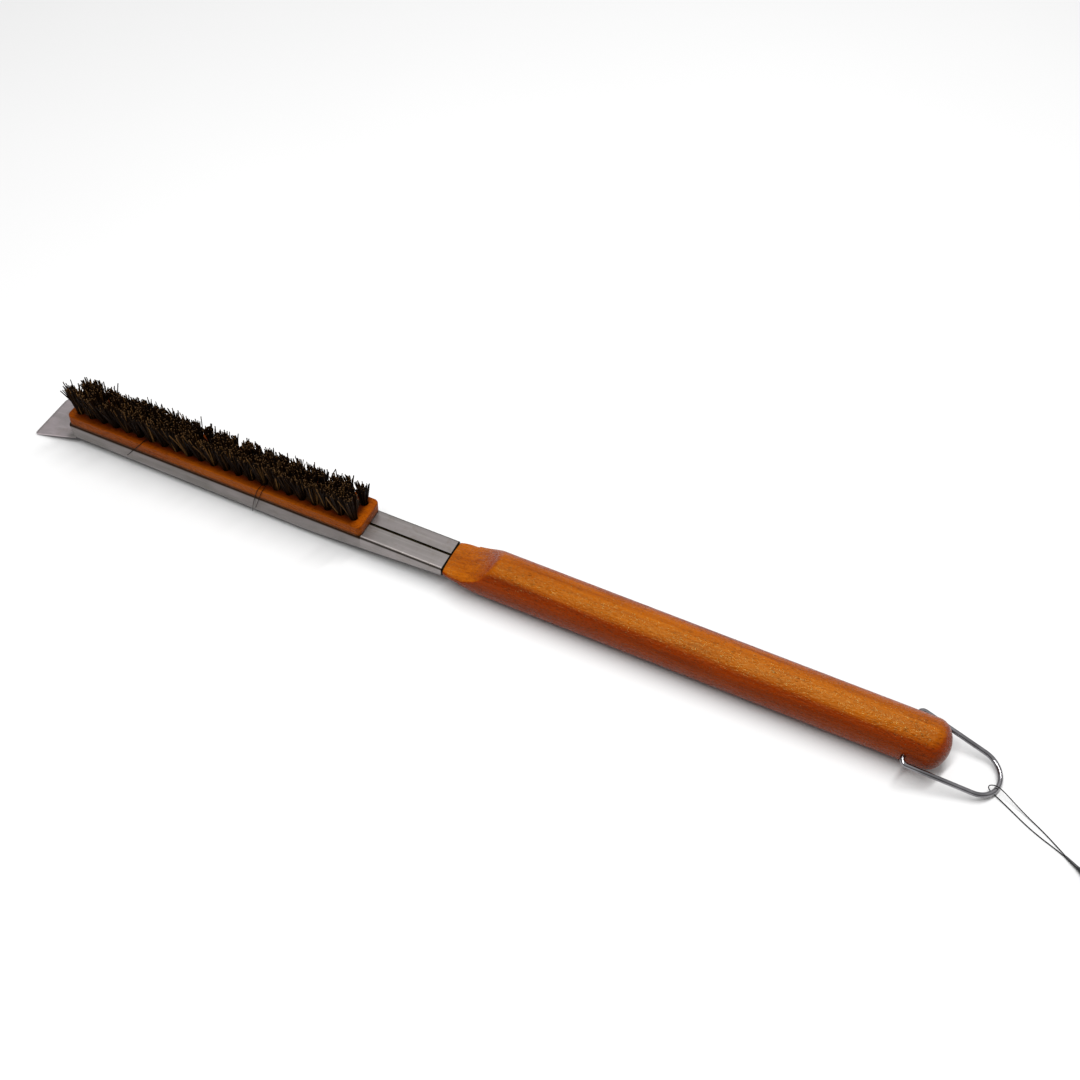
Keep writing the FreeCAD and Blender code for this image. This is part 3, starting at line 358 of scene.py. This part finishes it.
def make_looks():
    steel_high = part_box("scraper_channel")[1]
    block_low, block_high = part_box("brush_block")
    return {
        "beech": handle_wood(steel_high.x + JOINT_GAP),
        "block_wood": block_wood(block_low, block_high),
        "stainless": brushed_steel("stainless", (0.284, 0.257, 0.252), (0.204, 0.190, 0.181),
                                   0.30, 0.46, steel_high.x, (block_low.x, block_high.x)),
        "palm_fibre": fibre("palm_fibre"),
        "staple_wire": plated_metal("staple_wire", (0.55, 0.53, 0.50), (0.30, 0.27, 0.24),
                                    0.25, 0.45, 900),
        "screw_steel": plated_metal("screw_steel", (0.45, 0.44, 0.42), (0.28, 0.27, 0.25),
                                    0.22, 0.42, 600),
        "bright_wire": plated_metal("bright_wire", (0.27, 0.263, 0.277), (0.17, 0.165, 0.174),
                                    0.07, 0.17, 300),
        "black_cord": twisted_cord("black_cord"),
        "black_plastic": moulded_plastic("black_plastic"),
    }


# ---------------------------------------------------------------- shared mesh helpers

def mesh_object(name, points, faces, smooth=True):
    mesh = bpy.data.meshes.new(name)
    mesh.from_pydata([tuple(p) for p in points], [], faces)
    mesh.update()
    made = bpy.data.objects.new(name, mesh)
    bpy.context.collection.objects.link(made)
    for polygon in mesh.polygons:
        polygon.use_smooth = smooth
    return made


def ring_faces(rings, around, start=0):
    """Quads between rings of points, each ring closed on itself."""
    faces = []
    for ring in range(rings - 1):
        low = start + ring * around
        for step in range(around):
            after = (step + 1) % around
            faces.append((low + step, low + after, low + around + after, low + around + step))
    return faces


def prism(name, first, second):
    """A closed solid between two outlines with the same number of points."""
    count = len(first)
    faces = ring_faces(2, count)
    faces += [tuple(range(count))[::-1], tuple(range(count, 2 * count))]
    return mesh_object(name, first + second, faces, smooth=False)


def solid_cut(target, cutter, kind):
    """Applies a boolean with a helper object, which is then removed."""
    change = target.modifiers.new("cut", "BOOLEAN")
    change.operation, change.solver, change.object = kind, "EXACT", cutter
    bpy.context.view_layer.update()
    shaped = target.evaluated_get(bpy.context.evaluated_depsgraph_get())
    mesh = bpy.data.meshes.new_from_object(shaped)
    target.modifiers.clear()
    target.data = mesh
    bpy.data.objects.remove(cutter)


# ---------------------------------------------------------------- wooden handle

AROUND = 256  # points in each ring of the handle
STEEL_WIDTH = 25.2 * MM
WIRE_RADIUS = 1.5 * MM
SHARP_ANGLE = math.radians(38)


def soft_min(first, second, softness):
    share = np.clip(softness - np.abs(first - second), 0, None) / softness
    return np.minimum(first, second) - share * share * softness / 4


def dowel_radius(along, length, radius):
    """Radius of the turned part: a cylinder, then a rim arc and a crown arc."""
    rim, crown = 10 * MM, 18.8 * MM
    crown_x = length - crown
    rim_x = crown_x + math.sqrt((crown - rim) ** 2 - (radius - rim) ** 2)
    meet_x = crown_x + (rim_x - crown_x) * crown / (crown - rim)
    if along <= rim_x:
        return radius
    if along <= meet_x:
        return radius - rim + math.sqrt(rim ** 2 - (along - rim_x) ** 2)
    return math.sqrt(max(crown ** 2 - (along - crown_x) ** 2, 0))


def facet_height(along, level):
    """Distance of a flat from the axis: level first, then rising on a drum."""
    flat, drum = 5 * MM, 32.5 * MM
    past = max(along - flat, 0)
    if past >= drum * 0.98:
        return 1.0
    return level + drum - math.sqrt(drum ** 2 - past ** 2)


def section(along, angles, length, radius, top, bottom, half_width):
    """Distances from the axis to the surface round one station of the handle."""
    r = np.full(len(angles), dowel_radius(along, length, radius))
    nose = 40 * MM
    if along >= nose:
        return r
    sine, cosine = np.sin(angles), np.cos(angles)
    upward = np.clip(np.abs(sine), 1e-4, None)
    fade = np.clip((along - 9 * MM) / (22 * MM), 0, 1) ** 1.5
    far = np.clip(cosine, 0, 1)
    softness = (0.35 + 2.2 * math.exp(-along / (2 * MM))) * MM + fade * (2.4 + 2.0 * far) * MM
    for level, side in ((top, sine > 0), (bottom, sine < 0)):
        height = facet_height(along, level)
        crown = 45 * MM
        # The flat is slightly crowned across: r sin = height - (r cos)^2 / (2 crown).
        a, b = cosine ** 2 / (2 * crown), upward
        flat = np.where(a < 1e-9, height / b,
                        (-b + np.sqrt(b * b + 4 * a * height)) / np.maximum(2 * a, 1e-9))
        r = np.where(side, soft_min(r, flat, softness), r)
    narrow = 12 * MM
    if along < narrow:
        rise = radius - half_width
        bend = (narrow ** 2 + rise ** 2) / (2 * rise)
        width = radius - bend + math.sqrt(bend ** 2 - (narrow - along) ** 2)
        sides = width / np.clip(np.abs(cosine), 1e-4, None)
        r = soft_min(r, sides, 2.6 * MM)
    return r


def make_handle():
    low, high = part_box("handle")
    steel_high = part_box("scraper_channel")[1]
    joint = steel_high.x + JOINT_GAP
    radius = (high.z - low.z) / 2
    axis, length = low.z + radius, high.x - joint
    half_width = STEEL_WIDTH / 2
    top, bottom = steel_high.z - axis, 4.8 * MM
    angles = np.linspace(0, 2 * math.pi, AROUND, endpoint=False)

    # Stations along the handle: its rounded front rim, the flats, the dowel and the dome.
    ease = 0.45 * MM
    stations = [0.02 * ease, 0.12 * ease, 0.3 * ease, 0.6 * ease, ease]
    stations += list(np.arange(0.8, 38, 0.3) * MM)
    stations += list(np.linspace(38.5, 297, 66) * MM)
    turn = np.linspace(0, 1, 30)
    rim_start = 298.04 * MM
    stations += list(rim_start + (length - rim_start) * np.sin(turn * math.pi / 2))[:-1]
    points = []
    for along in stations:
        r = section(along, angles, length, radius, top, bottom, half_width)
        if along < ease:
            r = r - (ease - math.sqrt(ease ** 2 - (ease - along) ** 2))
        points += [(joint + along, s * math.cos(t), axis + s * math.sin(t))
                   for s, t in zip(r, angles)]
    faces = ring_faces(len(stations), AROUND)
    first, last = len(points), len(points) + 1
    points += [(joint, 0, axis), (joint + length, 0, axis)]
    end = (len(stations) - 1) * AROUND
    for step in range(AROUND):
        after = (step + 1) % AROUND
        faces.append((first, after, step))
        faces.append((last, end + step, end + after))
    handle = mesh_object("wood_handle", points, faces)

    # The tongue inside the channel, and the hole that the hanging loop turns in.
    inset, corner = 1.1 * MM, 1.2 * MM
    half_y, top_z, low_z = half_width - inset, axis + top - inset, axis - bottom + inset
    outline = []
    for y_sign, z_edge, start in ((1, top_z, 0), (-1, top_z, 90), (-1, low_z, 180),
                                  (1, low_z, 270)):
        centre_z = z_edge - corner if z_edge == top_z else z_edge + corner
        for step in range(5):
            turn = math.radians(start + step * 22.5)
            outline.append((y_sign * (half_y - corner) + corner * math.cos(turn),
                            centre_z + corner * math.sin(turn)))
    ends = (low.x, joint + 3 * MM)
    tongue = prism("tongue", *([(x, y, z) for y, z in outline] for x in ends))
    solid_cut(handle, tongue, "UNION")

    hole_x, hole_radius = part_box("hanging_loop")[0].x + WIRE_RADIUS, 1.7 * MM
    reach, steps = 20 * MM, 32
    turns = [2 * math.pi * step / steps for step in range(steps)]
    drill = prism("drill", *([(hole_x + hole_radius * math.cos(turn), y,
                               axis + hole_radius * math.sin(turn)) for turn in turns]
                             for y in (-reach, reach)))
    solid_cut(handle, drill, "DIFFERENCE")
    for polygon in handle.data.polygons:
        polygon.use_smooth = True
    handle.data.set_sharp_from_angle(angle=SHARP_ANGLE)
    return handle


# ---------------------------------------------------------------- bristles

def tufts_of(node):
    """Middle of the root, and of the tip, of each tuft in a CAD row, front to rear."""
    shape = bmesh.new()
    shape.from_mesh(node.data)
    bmesh.ops.remove_doubles(shape, verts=shape.verts, dist=0.00001)
    left = set(shape.verts)
    tufts = []
    while left:
        group, edge = set(), [left.pop()]
        while edge:
            vertex = edge.pop()
            group.add(vertex)
            for link in vertex.link_edges:
                other = link.other_vert(vertex)
                if other in left:
                    left.remove(other)
                    edge.append(other)
        spots = np.array([v.co[:] for v in group])
        root = spots[spots[:, 2] < spots[:, 2].min() + 0.0005].mean(axis=0)
        tip = spots[spots[:, 2] > spots[:, 2].max() - 0.0005].mean(axis=0)
        tufts.append((root, tip))
    shape.free()
    return sorted(tufts, key=lambda tuft: tuft[0][0])


class Fibres:
    """Gathers many thin tapered tubes into one mesh with two point attributes."""

    SIDES = 5

    def __init__(self):
        self.points, self.faces, self.tint, self.along = [], [], [], []

    def add(self, path, radius, tint, taper):
        path = np.asarray(path)
        count, sides, start = len(path), self.SIDES, len(self.points)
        heading = np.gradient(path, axis=0)
        heading /= np.linalg.norm(heading, axis=1)[:, None]
        across = np.cross(heading[0], (0.31, 0.95, 0.1))
        turn = np.linspace(0, 2 * math.pi, sides, endpoint=False)
        shares = np.concatenate(([0], np.cumsum(np.linalg.norm(np.diff(path, axis=0), axis=1))))
        shares /= shares[-1]
        for step in range(count):
            across = across - heading[step] * np.dot(across, heading[step])
            across /= np.linalg.norm(across)
            other = np.cross(heading[step], across)
            share = shares[step]
            r = radius * (1 - (1 - taper) * share ** 2)
            ring = path[step] + r * (np.cos(turn)[:, None] * across
                                     + np.sin(turn)[:, None] * other)
            self.points.extend(map(tuple, ring))
            self.tint.extend([tint] * sides)
            self.along.extend([share] * sides)
        self.faces += ring_faces(count, sides, start)
        self.faces.append(tuple(range(start, start + sides))[::-1])
        end = start + (count - 1) * sides
        self.faces.append(tuple(range(end, end + sides)))

    def make(self, name):
        made = mesh_object(name, self.points, self.faces)
        for key, values in (("tint", self.tint), ("along", self.along)):
            attribute = made.data.attributes.new(key, "FLOAT", "POINT")
            attribute.data.foreach_set("value", values)
        return made


# Height of the bristles above the block, front to rear, in mm: the far row is cut shorter.
TIP_PLACES = (0.0, 0.06, 0.14, 0.35, 0.55, 0.76, 0.9, 1.0)
TIP_HEIGHTS = {
    "near": (19.5, 20.5, 19.5, 18.5, 18.0, 18.5, 19.0, 19.5),
    "middle": (17.0, 19.0, 18.0, 17.5, 17.0, 17.5, 17.5, 17.5),
    "far": (14.0, 16.5, 15.5, 14.5, 14.0, 14.0, 15.0, 16.5),
}
PER_TUFT = 50
TUFT_RADIUS = 1.95 * MM
ROOT_DEPTH = 3.5 * MM
WILD_SHARE, SHORT_SHARE = 0.07, 0.09


def make_bristles(row, seed):
    """Each tuft of a row as separate stiff fibres, cut off at slightly uneven heights."""
    chance = np.random.default_rng(seed)
    block_low, block_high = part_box("brush_block")
    base_z = block_high.z
    ceiling = cad_box[1].z - 0.1 * MM
    gathered = Fibres()
    for root, tip in tufts_of(nodes["bristle_row_" + row]):
        share = (root[0] - block_low.x) / (block_high.x - block_low.x)
        tall = np.interp(share, TIP_PLACES, TIP_HEIGHTS[row]) * MM
        tall *= 1 + chance.normal(0, 0.03)
        mouth = np.array((root[0], root[1], base_z))
        lean = (tip - mouth) / (tip[2] - mouth[2])
        lean[0] *= np.interp(share, (0.03, 0.16), (0.1, 0.85))
        lean[1] *= 0.5 if row == "near" else 0.0
        lean += np.array((chance.normal(0, 0.06), chance.normal(0, 0.04), 0))
        for _ in range(PER_TUFT):
            spin, out = chance.uniform(0, 2 * math.pi), math.sqrt(chance.uniform(0, 1))
            offset = np.array((math.cos(spin), math.sin(spin), 0)) * out
            wild = chance.uniform() < WILD_SHARE
            flare = np.array((0.27, 0.17, 0)) * (1.3 if wild else 1.0)
            heading = lean + offset * chance.uniform(0.3, 1.0) * flare
            heading[:2] += chance.normal(0, 0.10 if wild else 0.05, 2)
            height = tall * (1 - abs(chance.normal(0, 0.06)))
            if chance.uniform() < SHORT_SHARE:
                height *= chance.uniform(0.75, 0.95)
            bend = np.append(chance.normal(0, 1, 2), 0) * (1.5 if wild else 0.6) * MM
            kink = chance.normal(0, 0.18, 3) * MM
            start = mouth + offset * TUFT_RADIUS
            path = [start - (0, 0, ROOT_DEPTH), start - (0, 0, 0.6 * MM)]
            for step in (0.13, 0.33, 0.55, 0.77, 0.985, 1.0):
                path.append(start + heading * height * step + bend * step ** 2
                            + kink * math.sin(math.pi * step))
            path = np.array(path)
            path[:, 2] = np.minimum(path[:, 2], ceiling - 0.3 * MM)
            # Painted light: the near row gets more pale fibres, as glints on its lit side.
            gathered.add(path, chance.uniform(0.30, 0.44) * MM,
                         chance.beta(0.8, 1.3 if row == "near" else 2.0), 0.9)
    return gathered.make("bristles_" + row)


def make_stray_fibres():
    """A few loose fibres, over the near edge of the block and among the tufts."""
    chance = np.random.default_rng(77)
    block_low, block_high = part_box("brush_block")
    top, near = block_high.z, block_low.y
    gathered = Fibres()

    def strand(corners, radius, tint):
        corners = [Vector(c) for c in corners]
        path = []
        for step in range(14):
            share = step / 13 * (len(corners) - 1)
            low = min(int(share), len(corners) - 2)
            before = corners[max(low - 1, 0)]
            after = corners[min(low + 2, len(corners) - 1)]
            t = share - low
            a, b = corners[low], corners[low + 1]
            slope_a, slope_b = (b - before) / 2, (after - a) / 2
            path.append(a * (2 * t ** 3 - 3 * t ** 2 + 1) + slope_a * (t ** 3 - 2 * t ** 2 + t)
                        + b * (3 * t ** 2 - 2 * t ** 3) + slope_b * (t ** 3 - t ** 2))
        gathered.add([tuple(p) for p in path], radius, tint, taper=0.8)

    # Three hang over the near edge, down to the channel's side.
    strand([(-0.2236, -0.0050, top + 0.006), (-0.2320, -0.0085, top + 0.002),
            (-0.2355, near - 0.0003, top - 0.0010), (-0.2395, near - 0.0006, top - 0.006),
            (-0.2470, near - 0.0014, top - 0.0150)], 0.3 * MM, 0.2)
    strand([(-0.1456, -0.0085, top + 0.005), (-0.1490, near + 0.0004, top + 0.0012),
            (-0.1508, near - 0.0007, top - 0.003), (-0.1545, near - 0.0008, top - 0.0150),
            (-0.1552, near - 0.0016, top - 0.0215)], 0.22 * MM, 0.3)
    strand([(-0.1440, -0.0080, top + 0.004), (-0.1462, near + 0.0004, top + 0.0010),
            (-0.1488, near - 0.0008, top - 0.006), (-0.1530, near - 0.0010, top - 0.0180)],
           0.22 * MM, 0.2)
    # Four stand up among the tufts, as high as the box allows.
    for x, y in ((-0.1035, 0.004), (-0.1800, 0.002), (-0.1300, 0.0045), (-0.2600, 0.005)):
        lean = Vector((chance.normal(-0.08, 0.06), chance.normal(0, 0.06), 1))
        foot = Vector((x, y, top - 0.002))
        tall = cad_box[1].z - 0.6 * MM - foot.z
        strand([foot, foot + lean * tall * 0.5, foot + lean * tall], 0.16 * MM,
               chance.uniform(0.4, 0.9))
    return gathered.make("stray_fibres")


# ---------------------------------------------------------------- tag string

# The route of the tag string, in mm: out of its lock, under the bow, over it and back.
STRING_ROUTE = (
    (360.8, -27.9, 0.7), (354.2, -25.0, 0.36), (345.6, -21.9, 0.36), (336.6, -17.8, 0.36),
    (327.6, -12.7, 0.36), (320.2, -8.8, 0.62), (314.9, -6.3, 0.85), (311.9, -5.1, 2.1),
    (312.1, -4.6, 4.6), (315.3, -4.0, 5.45), (319.8, -4.7, 4.3), (327.2, -7.9, 2.1),
    (336.2, -12.4, 0.6), (345.4, -17.2, 0.36), (353.8, -22.4, 0.36), (360.8, -27.3, 0.7),
)


def make_string():
    data = bpy.data.curves.new("tag_cord", "CURVE")
    data.dimensions = "3D"
    line = data.splines.new("NURBS")
    line.points.add(len(STRING_ROUTE) - 1)
    for point, spot in zip(line.points, STRING_ROUTE):
        point.co = (*(v * MM for v in spot), 1)
    line.order_u = 3
    line.use_endpoint_u = True
    line.resolution_u = 12
    data.bevel_depth = 0.3 * MM
    data.bevel_resolution = 3
    data.use_fill_caps = True
    made = bpy.data.objects.new("tag_cord", data)
    bpy.context.collection.objects.link(made)
    return made


# ---------------------------------------------------------------- stage

SKY_UP = Vector((0, 0.26, 0.966))  # the direction that the sky is brightest in
SKY_GREYS = ((0, 0.06), (0.33, 0.18), (0.66, 0.46), (1, 1.0))  # place on the ramp, grey
SKY_STRENGTH = 0.95
STRIP_HEIGHT, STRIP_ANGLE = 1.5, math.radians(89)
STRIP_SIZE, STRIP_POWER = (1.9, 0.12), 31  # metres, watts


def make_floor():
    half, ground = 6.0, -0.1 * MM
    floor = mesh_object("floor", [(-half, -half, ground), (half, -half, ground),
                                  (half, half, ground), (-half, half, ground)],
                        [(0, 1, 2, 3)], smooth=False)
    look = Look("pale_floor")
    tone = look.mix(look.noise((3, 3, 3), 2), (0.64, 0.64, 0.64), (0.66, 0.66, 0.66))
    floor.data.materials.append(look.finish(Base_Color=tone, Roughness=0.9,
                                            Specular_IOR_Level=0.1))


def make_sky():
    """A grey sky that is brighter overhead than at the horizon."""
    world = bpy.data.worlds.new("studio")
    bpy.context.scene.world = world
    world.use_nodes = True
    tree = world.node_tree
    place = tree.nodes.new("ShaderNodeTexCoord")
    height = tree.nodes.new("ShaderNodeVectorMath")
    height.operation = "DOT_PRODUCT"
    height.inputs[1].default_value = SKY_UP
    tree.links.new(place.outputs["Generated"], height.inputs[0])
    spread = tree.nodes.new("ShaderNodeMapRange")
    spread.inputs[1].default_value = -0.5
    tree.links.new(height.outputs["Value"], spread.inputs[0])
    bar = tree.nodes.new("ShaderNodeValToRGB")
    tree.links.new(spread.outputs[0], bar.inputs[0])
    stops = bar.color_ramp.elements
    for position, _ in SKY_GREYS[1:-1]:
        stops.new(position)
    for stop, (_, grey) in zip(stops, SKY_GREYS):
        stop.color = (grey, grey, grey, 1)
    background = tree.nodes["Background"]
    tree.links.new(bar.outputs[0], background.inputs[0])
    background.inputs[1].default_value = SKY_STRENGTH


def make_strip():
    """A long soft strip of light, almost straight above the brush."""
    data = bpy.data.lights.new("strip", "AREA")
    data.shape = "RECTANGLE"
    data.size, data.size_y = STRIP_SIZE
    data.energy = STRIP_POWER
    made = bpy.data.objects.new("strip", data)
    centre = Vector((0, 0, 0.02))
    toward = Vector((0.05, -math.cos(STRIP_ANGLE), math.sin(STRIP_ANGLE)))
    made.location = centre + toward * STRIP_HEIGHT
    made.rotation_mode = "QUATERNION"
    made.rotation_quaternion = (centre - made.location).to_track_quat("-Z", "Y")
    bpy.context.collection.objects.link(made)


def make_stage():
    make_floor()
    make_sky()
    make_strip()
    bpy.context.scene.view_settings.view_transform = "Standard"
    bpy.context.scene.view_settings.look = "None"


# ---------------------------------------------------------------- assembly

def paint(piece, material):
    if not piece.material_slots:
        piece.data.materials.append(material)
    for holder in piece.material_slots:
        holder.material = material


def main():
    make_camera()
    string = make_string()
    looks = make_looks()
    behaviour_slots = {
        "scraper_channel": "stainless", "brush_block": "block_wood",
        "staple_row_near": "staple_wire", "staple_row_middle": "staple_wire",
        "staple_row_far": "staple_wire", "hanging_loop": "bright_wire",
        "tag_lock": "black_plastic",
    }
    for name, node in nodes.items():
        if name.startswith(("head_", "tenon_")):
            paint(node, looks["screw_steel"])
        elif name in behaviour_slots:
            paint(node, looks[behaviour_slots[name]])

    def present(piece, body, slot, *replaced):
        paint(piece, looks[slot])
        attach(piece, body)
        if replaced:
            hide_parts(*replaced)

    present(make_handle(), "brush", "beech", "handle")
    for seed, row in enumerate(("near", "middle", "far"), start=3):
        present(make_bristles(row, seed), "brush", "palm_fibre", "bristle_row_" + row)
    present(make_stray_fibres(), "brush", "palm_fibre")
    present(string, "loop", "black_cord", "tag_string")
    make_stage()


main()
